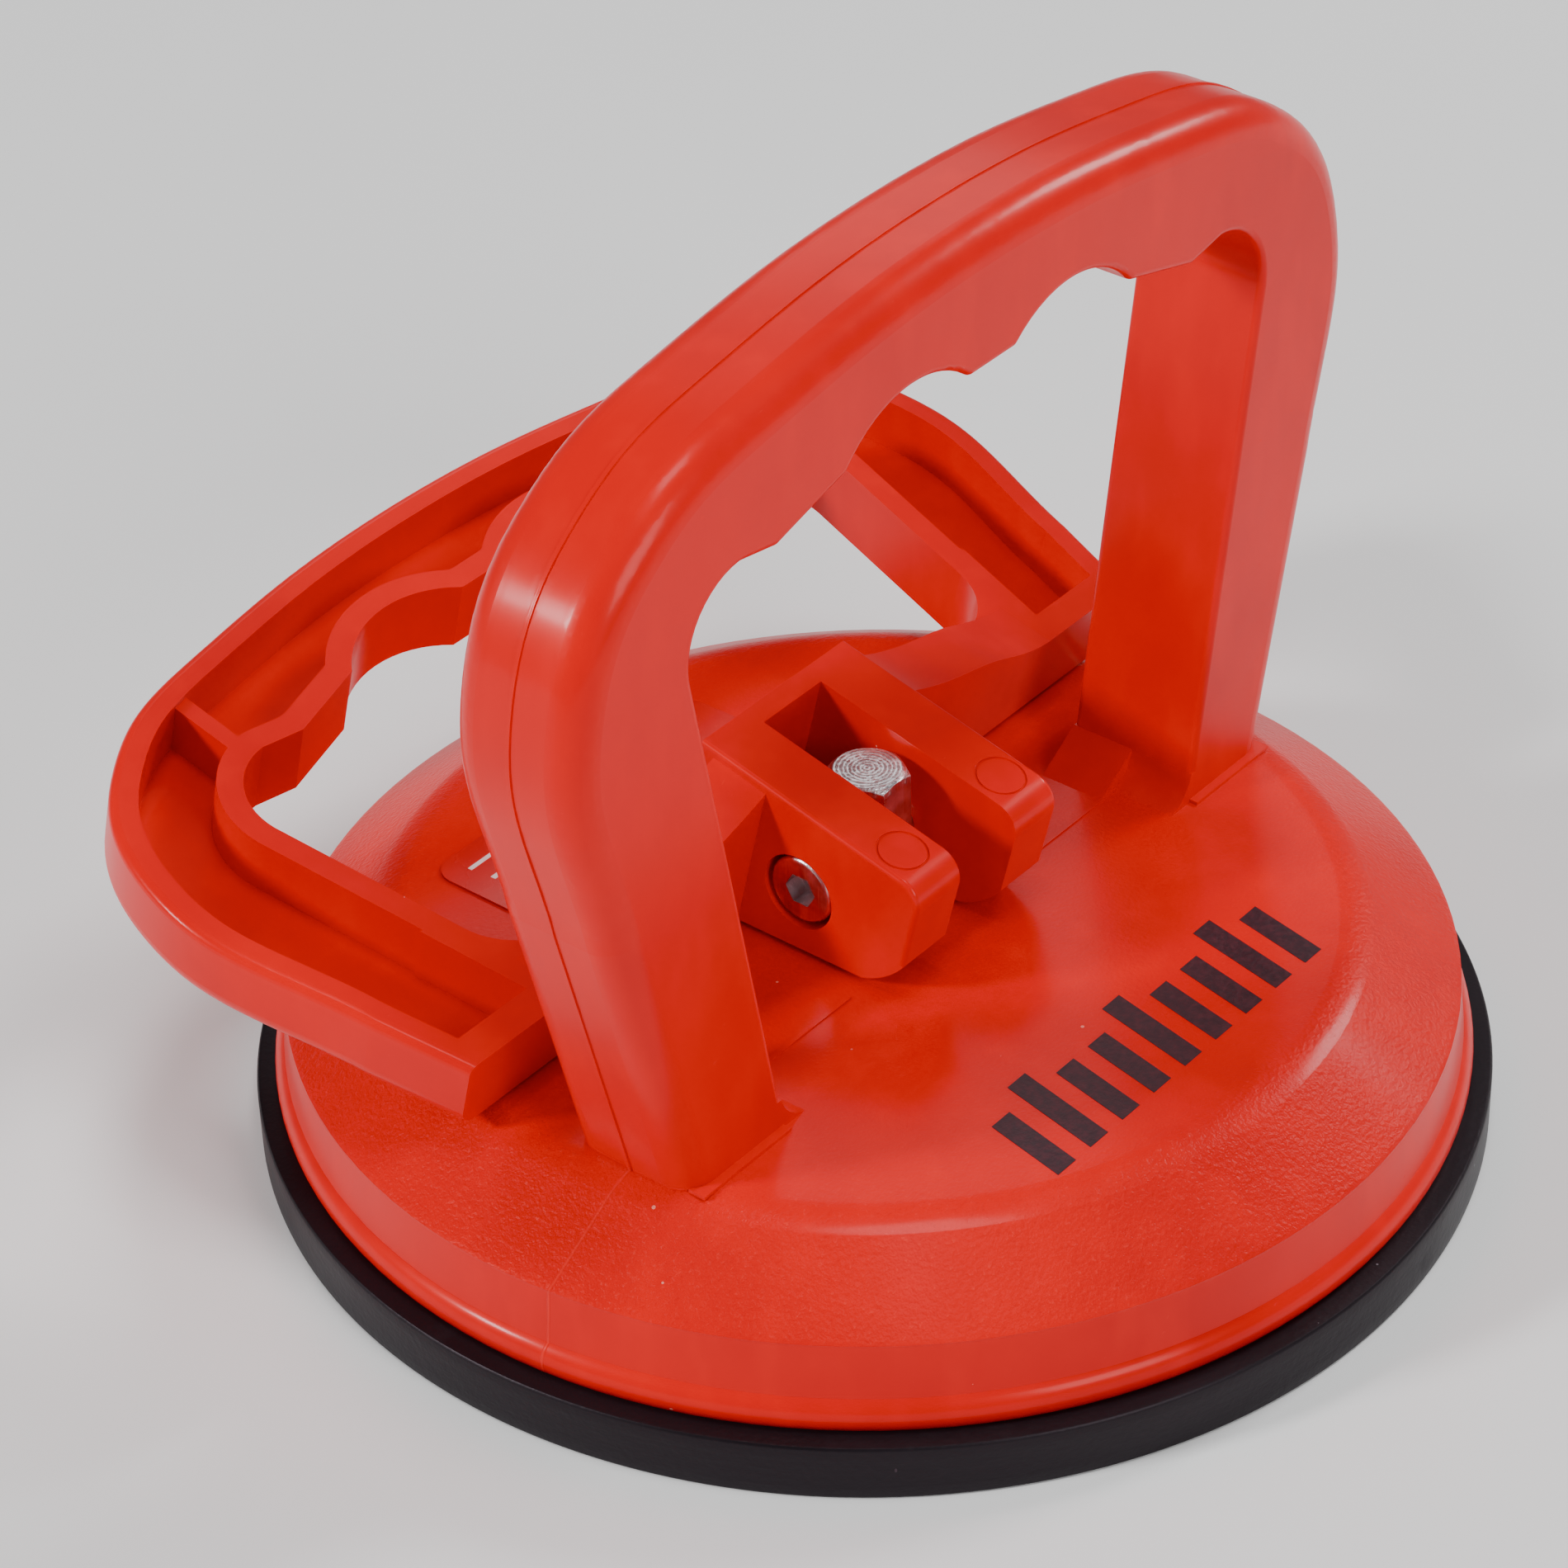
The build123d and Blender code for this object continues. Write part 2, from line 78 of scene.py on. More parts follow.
def srgb(red: int, green: int, blue: int) -> Color:
    """Linear colour of an 8-bit display colour."""
    return tuple(
        (c / 255 / 12.92) if c <= 10 else ((c / 255 + 0.055) / 1.055) ** 2.4
        for c in (red, green, blue)
    )


# --- shader maths --------------------------------------------------------------------------


class Signal:
    """A number socket of a shader that takes part in Python arithmetic."""

    def __init__(self, graph: "Graph", socket: bpy.types.NodeSocket) -> None:
        """Keeps the graph and the socket that carries the value."""
        self.graph = graph
        self.socket = socket

    def _math(self, operation: str, *values: "Signal | float") -> "Signal":
        """Adds one Math node over the given values."""
        inputs = dict(enumerate(values))
        return self.graph.node("ShaderNodeMath", {"operation": operation}, inputs)

    def __add__(self, other: "Signal | float") -> "Signal":
        """Sum."""
        return self._math("ADD", self, other)

    __radd__ = __add__

    def __sub__(self, other: "Signal | float") -> "Signal":
        """Difference."""
        return self._math("SUBTRACT", self, other)

    def __rsub__(self, other: float) -> "Signal":
        """Difference with the number first."""
        return self._math("SUBTRACT", other, self)

    def __mul__(self, other: "Signal | float") -> "Signal":
        """Product."""
        return self._math("MULTIPLY", self, other)

    __rmul__ = __mul__

    def __truediv__(self, other: "Signal | float") -> "Signal":
        """Quotient."""
        return self._math("DIVIDE", self, other)

    def __rtruediv__(self, other: float) -> "Signal":
        """Quotient with the number first."""
        return self._math("DIVIDE", other, self)

    def __pow__(self, power: float) -> "Signal":
        """Power."""
        return self._math("POWER", self, power)

    def __neg__(self) -> "Signal":
        """Opposite value."""
        return self._math("MULTIPLY", self, -1.0)

    def __abs__(self) -> "Signal":
        """Absolute value."""
        return self._math("ABSOLUTE", self)

    def __lt__(self, limit: "Signal | float") -> "Signal":
        """1 where the value is below the limit, else 0."""
        return self._math("LESS_THAN", self, limit)

    def __gt__(self, limit: "Signal | float") -> "Signal":
        """1 where the value is above the limit, else 0."""
        return self._math("GREATER_THAN", self, limit)

    def sine(self) -> "Signal":
        """Sine of the value in radians."""
        return self._math("SINE", self)

    def ramp(self, start: float, end: float) -> "Signal":
        """Smooth rise from 0 at start to 1 at end.

        Args:
            start: value where the result is 0.
            end: value where the result is 1; it may be below start.

        Returns:
            The eased value between 0 and 1.
        """
        settings = {"interpolation_type": "SMOOTHSTEP"}
        inputs = {"Value": self, "From Min": start, "From Max": end, "To Min": 0.0, "To Max": 1.0}
        return self.graph.node("ShaderNodeMapRange", settings, inputs)


class Graph:
    """The node graph of one material."""

    def __init__(self, name: str) -> None:
        """Starts an empty material of that name."""
        self.material = bpy.data.materials.new(name)
        self.material.use_nodes = True
        self.tree = self.material.node_tree
        self.tree.nodes.clear()

    def add(
        self,
        kind: str,
        settings: dict[str, object] | None = None,
        inputs: dict[int | str, object] | None = None,
    ) -> bpy.types.Node:
        """Adds a node.

        Args:
            kind: the node's type.
            settings: its properties, which are set first.
            inputs: values or Signals by socket name or place.

        Returns:
            The node.
        """
        made = self.tree.nodes.new(kind)
        for name, value in (settings or {}).items():
            setattr(made, name, value)
        for key, value in (inputs or {}).items():
            self.feed(made.inputs[key], value)
        return made

    def node(
        self,
        kind: str,
        settings: dict[str, object] | None = None,
        inputs: dict[int | str, object] | None = None,
        output: int | str = 0,
    ) -> Signal:
        """Adds a node and picks one of its outputs.

        Args:
            kind: the node's type.
            settings: its properties, which are set first.
            inputs: values or Signals by socket name or place.
            output: the output socket that is returned.

        Returns:
            That output as a Signal.
        """
        return Signal(self, self.add(kind, settings, inputs).outputs[output])

    def feed(self, socket: bpy.types.NodeSocket, value: object) -> None:
        """Links a Signal to a socket or sets its constant."""
        if isinstance(value, Signal):
            self.tree.links.new(value.socket, socket)
        elif isinstance(value, (tuple, Vector)) and len(socket.default_value) == 4:
            socket.default_value = (*value, 1.0)
        else:
            socket.default_value = value

    def place(self) -> Signal:
        """The surface point in the row frame, in metres."""
        return self.node("ShaderNodeTexCoord", output="Object")

    def parts(self, vector: Signal) -> tuple[Signal, Signal, Signal]:
        """The x, y and z of a vector."""
        outputs = self.add("ShaderNodeSeparateXYZ", inputs={0: vector}).outputs
        return tuple(Signal(self, outputs[i]) for i in range(3))

    def vector_math(self, operation: str, *values: object, output: int | str = 0) -> Signal:
        """One Vector Math node over the given values."""
        inputs = dict(enumerate(values))
        return self.node("ShaderNodeVectorMath", {"operation": operation}, inputs, output)

    def noise(self, where: Signal, scale: float, detail: float = 3.0, rough: float = 0.55) -> Signal:
        """Fractal noise between 0 and 1, centred on one half."""
        inputs = {"Vector": where, "Scale": scale, "Detail": detail, "Roughness": rough}
        return self.node("ShaderNodeTexNoise", {}, inputs, "Fac")

    def specks(self, where: Signal, scale: float, size: float, share: float) -> Signal:
        """Sparse round specks.

        Args:
            where: the point that the pattern is looked up at.
            scale: cells per metre.
            size: a speck's radius as a share of its cell.
            share: the share of the cells that hold a speck.

        Returns:
            1 on a speck and 0 elsewhere.
        """
        inputs = {"Vector": where, "Scale": scale, "Randomness": 1.0}
        cells = self.add("ShaderNodeTexVoronoi", inputs=inputs).outputs
        near = Signal(self, cells["Distance"])
        pick, tone, _ = self.parts(Signal(self, cells["Color"]))
        return (near < size * (0.5 + tone)) * (pick < share)

    def blend(self, share: Signal | float, first: object, second: object) -> Signal:
        """Colour that goes from first to second with share."""
        settings = {"data_type": "RGBA"}
        return self.node("ShaderNodeMix", settings, {0: share, 6: first, 7: second}, 2)

    def bump(self, height: Signal, depth: float, normal: Signal | None = None) -> Signal:
        """Surface normal tilted by a height between 0 and 1 that stands for depth metres."""
        inputs: dict[int | str, object] = {"Strength": 1.0, "Distance": depth, "Height": height}
        if normal is not None:
            inputs["Normal"] = normal
        return self.node("ShaderNodeBump", {}, inputs)

    def surface(self, **sockets: object) -> bpy.types.Material:
        """Closes the graph with a Principled BSDF; underscores stand for spaces in socket names."""
        inputs = {name.replace("_", " "): value for name, value in sockets.items()}
        shader = self.node("ShaderNodeBsdfPrincipled", inputs=inputs)
        self.add("ShaderNodeOutputMaterial", inputs={"Surface": shader})
        return self.material


# --- finishes ------------------------------------------------------------------------------


class Grain(Enum):
    """Where a red moulding carries the fine spark-eroded grain."""

    DOME = "dome"
    NONE = "none"


@dataclass(frozen=True)
class RedPlastic:
    """Glossy, slightly translucent red polypropylene."""

    name: str
    grain: Grain = Grain.NONE
    deep: Color = (0.60, 0.0006, 0.0012)
    body: Color = (0.74, 0.0016, 0.0010)
    bright: Color = (0.86, 0.0060, 0.0030)
    top_z: float = LABEL_LOW.z
    shoulder_r: float = 0.0435
    crease_z: float = 0.0146
    seam_y: float = -0.0078
    cloud_scale: float = 38.0
    flow_scale: float = 210.0
    wave_scale: float = 85.0
    wave_depth: float = 0.00007
    scuff_scale: float = 900.0
    scuff_color: Color = (0.9, 0.05, 0.04)
    dust_scale: float = 260.0
    dust_color: Color = (0.95, 0.36, 0.28)
    dark_scale: float = 190.0
    dark_color: Color = (0.16, 0.002, 0.003)
    pit_scale: float = 2300.0
    coarse_scale: float = 1150.0
    pit_depth: float = 0.00017
    specular: float = 0.24
    reflection: Color = (1.0, 0.34, 0.30)
    coat: float = 0.14
    coat_rough: float = 0.16
    glow: float = 0.1
    glow_spread: Color = (1.0, 0.06, 0.03)
    glow_reach: float = 0.003

    def material(self) -> bpy.types.Material:
        """Builds the material with flow marks, scuffs, dust and the dome's grain."""
        graph = Graph(self.name)
        place = graph.place()
        clouds = graph.noise(place, self.cloud_scale, 3.0)
        stretched = graph.vector_math("MULTIPLY", place, (1.0, 1.0, 0.35))
        flow = graph.noise(stretched, self.flow_scale, 2.0)
        color = graph.blend(clouds.ramp(0.2, 0.7), self.deep, self.body)
        color = graph.blend(flow.ramp(0.45, 0.75) * 0.3, color, self.bright)
        rough = 0.27 + 0.08 * clouds + 0.05 * flow
        wave = graph.noise(place, self.wave_scale, 2.0)
        normal = graph.bump(wave, self.wave_depth)
        if self.grain is Grain.DOME:
            color, rough, normal = self._grain(graph, place, color, rough, normal)
        brushed = graph.vector_math("MULTIPLY", place, (1.0, 3.2, 1.6))
        scuff = graph.noise(brushed, self.scuff_scale, 2.0)
        worn = scuff.ramp(0.72, 0.8)
        color = graph.blend(worn * 0.2, color, self.scuff_color)
        dust = graph.specks(place, self.dust_scale, 0.035, 0.16)
        color = graph.blend(dust * 0.7, color, self.dust_color)
        shifted = graph.vector_math("ADD", place, (0.31, 0.12, 0.05))
        dark = graph.specks(shifted, self.dark_scale, 0.03, 0.12)
        color = graph.blend(dark * 0.6, color, self.dark_color)
        return graph.surface(
            Base_Color=color,
            Roughness=rough + 0.25 * worn,
            Normal=normal,
            IOR=1.5,
            Subsurface_Weight=self.glow,
            Subsurface_Radius=self.glow_spread,
            Subsurface_Scale=self.glow_reach,
            Specular_IOR_Level=self.specular,
            Specular_Tint=self.reflection,
            Coat_Weight=self.coat,
            Coat_Roughness=self.coat_rough,
        )

    def _grain(
        self,
        graph: Graph,
        place: Signal,
        color: Signal,
        rough: Signal,
        normal: Signal,
    ) -> tuple[Signal, Signal, Signal]:
        """Adds the dome's grain, strongest on its slope and absent on the band under the crease.

        Args:
            graph: the graph that is built.
            place: the surface point.
            color: the colour so far.
            rough: the roughness so far.
            normal: the normal so far.

        Returns:
            The new colour, roughness and normal.
        """
        x, y, z = graph.parts(place)
        radius = (x * x + y * y) ** 0.5
        on_dome = z.ramp(self.top_z + 0.0004, self.top_z + 0.0001)
        above = z.ramp(self.crease_z - 0.0003, self.crease_z + 0.0003)
        slope = radius.ramp(self.shoulder_r - 0.002, self.shoulder_r + 0.002)
        amount = on_dome * above * (0.4 + 0.6 * slope)
        pits = graph.noise(place, self.pit_scale, 2.0, 0.6)
        coarse = graph.noise(place, self.coarse_scale, 2.0, 0.5)
        normal = graph.bump(amount * (0.6 * pits + 0.4 * coarse), self.pit_depth, normal)
        color = graph.blend(amount * pits.ramp(0.6, 0.75) * 0.3, color, (0.95, 0.05, 0.035))
        color = graph.blend(amount * pits.ramp(0.42, 0.3) * 0.35, color, self.deep)
        parting = abs(y - self.seam_y).ramp(0.00022, 0.00004) * slope * (x < 0.0) * on_dome
        color = graph.blend(parting * 0.45, color, (0.9, 0.03, 0.02))
        return color, rough + 0.06 * amount, graph.bump(parting, 0.00006, normal)


@dataclass(frozen=True)
class BlackRubber:
    """Satin black rubber with dust and faint moulding lines round its side."""

    name: str = "black_rubber"
    dark: Color = (0.0035, 0.0022, 0.0034)
    light: Color = (0.0100, 0.0070, 0.0096)

    def material(self) -> bpy.types.Material:
        """Builds the material."""
        graph = Graph(self.name)
        place = graph.place()
        clouds = graph.noise(place, 55.0, 4.0)
        fine = graph.noise(place, 1400.0, 2.0)
        lines = graph.noise(graph.vector_math("MULTIPLY", place, (0.6, 0.6, 9.0)), 260.0, 2.0)
        color = graph.blend(0.6 * clouds + 0.4 * lines, self.dark, self.light)
        dust = graph.specks(place, 420.0, 0.05, 0.14)
        fluff = graph.specks(graph.vector_math("MULTIPLY", place, (1.0, 1.0, 0.5)), 240.0, 0.04, 0.3)
        bloom = graph.noise(place, 130.0, 5.0, 0.7).ramp(0.55, 0.75)
        color = graph.blend(bloom * 0.12, color, (0.03, 0.024, 0.03))
        color = graph.blend(dust * 0.7, color, (0.22, 0.2, 0.23))
        color = graph.blend(fluff * 0.4, color, (0.1, 0.06, 0.08))
        normal = graph.bump(0.7 * fine + 0.3 * lines, 0.00005)
        return graph.surface(
            Base_Color=color,
            Roughness=0.36 + 0.14 * clouds + 0.1 * bloom,
            Normal=normal,
            IOR=1.5,
            Specular_IOR_Level=0.22,
            Specular_Tint=(1.0, 0.82, 0.92),
        )


class Turning(Enum):
    """How a metal part's surface was worked."""

    LATHE_FACE = "lathe_face"
    DRAWN = "drawn"


@dataclass(frozen=True)
class ZincSteel:
    """Bright zinc-plated steel with turned or drawn marks."""

    name: str
    turning: Turning = Turning.DRAWN
    face_z: float = STUD_HIGH.z - 0.0002
    ring_rate: float = 15500.0
    ring_depth: float = 0.00006
    dark: Color = (0.62, 0.60, 0.62)
    light: Color = (0.93, 0.92, 0.94)

    def material(self) -> bpy.types.Material:
        """Builds the material."""
        graph = Graph(self.name)
        place = graph.place()
        x, y, z = graph.parts(place)
        stains = graph.noise(place, 420.0, 3.0)
        drawn = graph.noise(graph.vector_math("MULTIPLY", place, (1.0, 1.0, 0.06)), 3600.0, 2.0)
        color = graph.blend(stains.ramp(0.3, 0.7), self.dark, self.light)
        color = graph.blend(drawn.ramp(0.55, 0.75) * 0.4, color, srgb(250, 250, 252))
        rough = 0.22 + 0.16 * stains
        normal = graph.bump(drawn, 0.00003)
        if self.turning is Turning.LATHE_FACE:
            wobble = graph.noise(place, 900.0, 2.0)
            radius = (x * x + y * y) ** 0.5 + 0.00012 * wobble
            rings = 0.5 + 0.5 * (radius * self.ring_rate).sine()
            on_face = z.ramp(self.face_z - 0.0012, self.face_z - 0.0004)
            torn = graph.noise(place, 2600.0, 3.0).ramp(0.35, 0.7)
            color = graph.blend(on_face * rings.ramp(0.62, 0.9) * torn * 0.55, color, srgb(120, 96, 104))
            rough = rough + 0.12 * on_face * rings
            normal = graph.bump(on_face * rings * torn, self.ring_depth, normal)
        return graph.surface(Base_Color=color, Metallic=1.0, Roughness=rough, Normal=normal)


@dataclass(frozen=True)
class LabelFilm:
    """Printed red film; its pale cut edge is not drawn."""

    name: str = "label_film"
    ink: Color = (0.66, 0.002, 0.0015)

    def material(self) -> bpy.types.Material:
        """Builds the material."""
        graph = Graph(self.name)
        place = graph.place()
        tone = graph.noise(place, 120.0, 3.0)
        dots = graph.noise(place, 3000.0, 1.0)
        color = graph.blend(tone.ramp(0.3, 0.7), self.ink, (0.58, 0.001, 0.0012))
        color = graph.blend(dots.ramp(0.6, 0.8) * 0.3, color, (0.85, 0.02, 0.012))
        return graph.surface(
            Base_Color=color,
            Roughness=0.22 + 0.1 * tone,
            Normal=graph.bump(tone, 0.00004),
            Specular_IOR_Level=0.5,
        )


@dataclass(frozen=True)
class PrintInk:
    """Screen-printed ink, thin and slightly mottled."""

    name: str
    solid: Color
    thin: Color
    mottle: float = 1500.0

    def material(self) -> bpy.types.Material:
        """Builds the material."""
        graph = Graph(self.name)
        place = graph.place()
        mottle = graph.noise(place, self.mottle, 3.0)
        pinholes = graph.specks(place, self.mottle, 0.16, 0.07)
        color = graph.blend(mottle.ramp(0.35, 0.75), self.solid, self.thin)
        color = graph.blend(pinholes * 0.6, color, self.thin)
        return graph.surface(
            Base_Color=color,
            Roughness=0.42 + 0.12 * mottle,
            Normal=graph.bump(graph.noise(place, 2300.0, 2.0), 0.00005),
        )


@dataclass(frozen=True)
class Nylon:
    """Milky nylon of the nut's locking ring."""

    name: str = "nylon"

    def material(self) -> bpy.types.Material:
        """Builds the material."""
        graph = Graph(self.name)
        place = graph.place()
        tone = graph.noise(place, 700.0, 3.0)
        color = graph.blend(tone, srgb(214, 218, 224), srgb(238, 240, 242))
        return graph.surface(
            Base_Color=color, Roughness=0.4 + 0.1 * tone, Normal=graph.bump(tone, 0.00005)
        )


@dataclass(frozen=True)
class StudioFloor:
    """Plain pale floor with the faintest paper tooth."""

    name: str = "studio_floor"

    def material(self) -> bpy.types.Material:
        """Builds the material."""
        graph = Graph(self.name)
        tone = graph.noise(graph.place(), 30.0, 2.0)
        color = graph.blend(tone, (0.88, 0.88, 0.88), (0.90, 0.90, 0.90))
        return graph.surface(Base_Color=color, Roughness=0.85)


# --- mesh helpers --------------------------------------------------------------------------


def add_object(name: str, mesh: bpy.types.Mesh, material: bpy.types.Material) -> bpy.types.Object:
    """Links a mesh as a new object with one material."""
    made = bpy.data.objects.new(name, mesh)
    mesh.materials.clear()
    mesh.materials.append(material)
    bpy.context.scene.collection.objects.link(made)
    return made


def paint(node: str, material: bpy.types.Material) -> bpy.types.Object:
    """Gives a CAD node its material."""
    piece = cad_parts[node]
    piece.data.materials.clear()
    piece.data.materials.append(material)
    LOG.info("painted %s with %s", node, material.name)
    return piece


def rectangle(left: float, right: float, low: float, high: float) -> Outline:
    """Corners of an upright rectangle, anticlockwise."""
    return [(left, low), (right, low), (right, high), (left, high)]


def lathe(name: str, profile: Sequence[tuple[float, float]], steps: int) -> bpy.types.Mesh:
    """Revolves a profile about the Z axis.

    Args:
        name: the mesh's name.
        profile: radius and height of each ring in metres, outside to the left of its path.
        steps: points round each ring.

    Returns:
        The closed skin as a mesh.
    """
    verts: list[Point] = []
    rings: list[list[int]] = []
    for radius, height in profile:
        if radius < 1e-9:
            rings.append([len(verts)])
            verts.append((0.0, 0.0, height))
            continue
        first = len(verts)
        for step in range(steps):
            angle = 2 * math.pi * step / steps
            verts.append((radius * math.cos(angle), radius * math.sin(angle), height))
        rings.append(list(range(first, first + steps)))
    faces = []
    for inner, outer in zip(rings, rings[1:]):
        for step in range(steps):
            after = (step + 1) % steps
            corners = [
                inner[step % len(inner)],
                outer[step % len(outer)],
                outer[after % len(outer)],
                inner[after % len(inner)],
            ]
            faces.append(list(dict.fromkeys(corners)))
    mesh = bpy.data.meshes.new(name)
    mesh.from_pydata(verts, [], faces)
    mesh.validate()
    return mesh


def shade(mesh: bpy.types.Mesh, sharp_degrees: float) -> None:
    """Smooth shading that stays sharp where faces meet at more than the given angle."""
    mesh.shade_smooth()
    made = bmesh.new()
    made.from_mesh(mesh)
    bmesh.ops.recalc_face_normals(made, faces=made.faces)
    for edge in made.edges:
        edge.smooth = edge.calc_face_angle(0.0) < math.radians(sharp_degrees)
    made.to_mesh(mesh)
    made.free()


def slab(outlines: Iterable[Outline], low: float, high: float, name: str) -> bpy.types.Mesh:
    """Thin flat plates with the given outlines.

    Args:
        outlines: corner points of each plate in metres, anticlockwise from above.
        low: underside height.
        high: top height.
        name: the mesh's name.

    Returns:
        One mesh with all the plates.
    """
    made = bmesh.new()
    for outline in outlines:
        bottom = [made.verts.new((x, y, low)) for x, y in outline]
        top = [made.verts.new((x, y, high)) for x, y in outline]
        made.faces.new(top)
        made.faces.new(bottom[::-1])
        for i in range(len(outline)):
            j = (i + 1) % len(outline)
            made.faces.new((bottom[i], bottom[j], top[j], top[i]))
    bmesh.ops.triangulate(made, faces=[f for f in made.faces if len(f.verts) > 4])
    bmesh.ops.recalc_face_normals(made, faces=made.faces)
    mesh = bpy.data.meshes.new(name)
    made.to_mesh(mesh)
    made.free()
    return mesh


# --- the object ----------------------------------------------------------------------------


@dataclass
class RubberCup:
    """The rubber disc as a skin whose middle rises with the stud while its rim stays down."""

    outer_r: float = DISC_HIGH.x
    height: float = DISC_HIGH.z
    bevel: float = 0.00035
    hole_r: float = 0.0045
    hole_depth: float = 0.003
    ring_pitch: float = 0.0015
    top_rings: tuple[int, int] = (4, 38)
    bottom_rings: tuple[int, int] = (28, 0)
    grooves: tuple[float, ...] = (0.044, 0.049, 0.054)
    groove_w: float = 0.0009
    groove_depth: float = 0.0005
    plate_r: float = PLATE_HIGH.x
    held_r: float = 0.047
    steps: int = 240

    def profile(self) -> list[tuple[float, float]]:
        """Ring sizes from the stud hole over the rim to the middle of the underside."""
        outer, top, edge = self.outer_r, self.height, self.bevel
        rings = [(self.hole_r, top - self.hole_depth), (self.hole_r, top)]
        rings += [(r * self.ring_pitch, top) for r in range(*self.top_rings)]
        corner = [(math.sin(math.radians(a)), math.cos(math.radians(a))) for a in (0, 30, 60, 90)]
        rings += [(outer - edge + edge * s, top - edge + edge * c) for s, c in corner]
        rings += [(outer, top * share) for share in (0.75, 0.5, 0.25)]
        rings += [(outer - edge + edge * c, edge - edge * s) for s, c in corner]
        for radius in sorted(self.grooves, reverse=True):
            wide, deep = self.groove_w / 2, self.groove_depth
            rings += [(radius + wide, 0.0), (radius + wide, deep)]
            rings += [(radius - wide, deep), (radius - wide, 0.0)]
        rings += [(r * self.ring_pitch, 0.0) for r in range(*self.bottom_rings, -1)]
        rings.append((0.0, 0.0))
        return rings

    def build(self) -> bpy.types.Object:
        """Makes the skin and ties it to the dome and the stud."""
        mesh = lathe("rubber_skin", self.profile(), self.steps)
        shade(mesh, 30.0)
        skin = add_object("rubber_skin", mesh, BlackRubber().material())
        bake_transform(skin, "base", "stud", start=(self.held_r, 0, 0), end=(self.plate_r, 0, 0))
        weights = []
        for vert in mesh.vertices:
            share = (self.held_r - math.hypot(vert.co.x, vert.co.y)) / (self.held_r - self.plate_r)
            share = min(max(share, 0.0), 1.0)
            weights.append(share * share * (3 - 2 * share))
        mesh.attributes["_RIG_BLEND"].data.foreach_set("value", weights)
        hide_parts("rubber_disc")
        LOG.info("built rubber_skin with %d points", len(mesh.vertices))
        return skin


@dataclass
class Dome:
    """The moulded housing with its fixed loop, the label and the front mark."""

    mark_z: float = LABEL_LOW.z
    mark_t: float = 0.00004
    mark_x: tuple[float, float] = (-0.0216, 0.0214)
    mark_y: tuple[float, float] = (-0.0380, -0.0272)
    bars: int = 9
    bar_w: float = 0.0026
    bar_lean: float = 0.0022
    short_by: float = 0.0022

    def dress(self) -> None:
        """Paints the moulding and its label."""
        paint("housing", RedPlastic("red_dome", Grain.DOME).material())
        paint("instruction_label", LabelFilm().material())

    def mark_outlines(self) -> list[Outline]:
        """Outlines of a row of slanted bars, every third one taller."""
        left, right = self.mark_x
        low, high = self.mark_y
        pitch = (right - left - self.bar_lean - self.bar_w) / (self.bars - 1)
        outlines = []
        for index in range(self.bars):
            x = left + pitch * index
            end = x + self.bar_w
            top = high if index % 3 == 1 else high - self.short_by
            lean = self.bar_lean * (top - low) / (high - low)
            outlines.append([(x, low), (end, low), (end + lean, top), (x + lean, top)])
        return outlines

    def build_mark(self) -> bpy.types.Object:
        """Prints the front mark."""
        mesh = slab(self.mark_outlines(), self.mark_z, self.mark_z + self.mark_t, "front_mark")
        ink = PrintInk("mark_ink", srgb(38, 14, 26), srgb(66, 22, 34))
        mark = add_object("front_mark", mesh, ink.material())
        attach(mark, "base")
        LOG.info("built front_mark")
        return mark


@dataclass
class LabelPrint:
    """The white line, the pictogram and the small print of the instruction label."""

    top_z: float = LABEL_HIGH.z
    thickness: float = 0.00003
    line_x: tuple[float, float] = (LABEL_LOW.x + 0.0025, LABEL_HIGH.x - 0.0027)
    line_y: float = LABEL_HIGH.y - 0.0028
    line_w: float = 0.0005
    dash_x: tuple[float, float] = (-0.0192, 0.0005)
    dash_w: tuple[float, float] = (0.0009, 0.0026)
    dash_h: float = 0.0006
    dash_gap: float = 0.0006
    first_row_y: float = 0.0302
    row_pitch: float = 0.0017
    rows: int = 4
    disc_place: tuple[float, float] = (0.0098, 0.0225)
    disc_r: float = 0.0030
    disc_points: int = 40

    def outlines(self) -> list[Outline]:
        """Outlines of everything printed on the label."""
        half = self.line_w / 2
        line = rectangle(*self.line_x, self.line_y - half, self.line_y + half)
        return [line, *self._small_print(), self._disc()]

    def _small_print(self) -> list[Outline]:
        """Rows of short dashes in place of small print."""
        rng = random.Random(11)
        dashes = []
        for row in range(self.rows):
            y = self.first_row_y - self.row_pitch * row
            x, end = self.dash_x
            while x < end:
                width = rng.uniform(*self.dash_w)
                dashes.append(rectangle(x, x + width, y, y + self.dash_h))
                x += width + self.dash_gap
        return dashes

    def _disc(self) -> Outline:
        """Plain disc in place of the pictogram."""
        x, y = self.disc_place
        turns = [2 * math.pi * i / self.disc_points for i in range(self.disc_points)]
        return [(x + self.disc_r * math.cos(t), y + self.disc_r * math.sin(t)) for t in turns]

    def build(self) -> bpy.types.Object:
        """Prints the label."""
        mesh = slab(self.outlines(), self.top_z, self.top_z + self.thickness, "label_print")
        ink = PrintInk("label_white", srgb(246, 238, 238), srgb(250, 214, 212), 900.0)
        made = add_object("label_print", mesh, ink.material())
        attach(made, "base")
        LOG.info("built label_print")
        return made


@dataclass
class PullStud:
    """The hexagonal stud and the plate that it is riveted to."""

    def dress(self) -> None:
        """Paints the stud and the plate."""
        zinc = ZincSteel("zinc_stud", Turning.LATHE_FACE)
        paint("pull_stud", zinc.material())
        paint("insert_plate", ZincSteel("plate_steel").material())


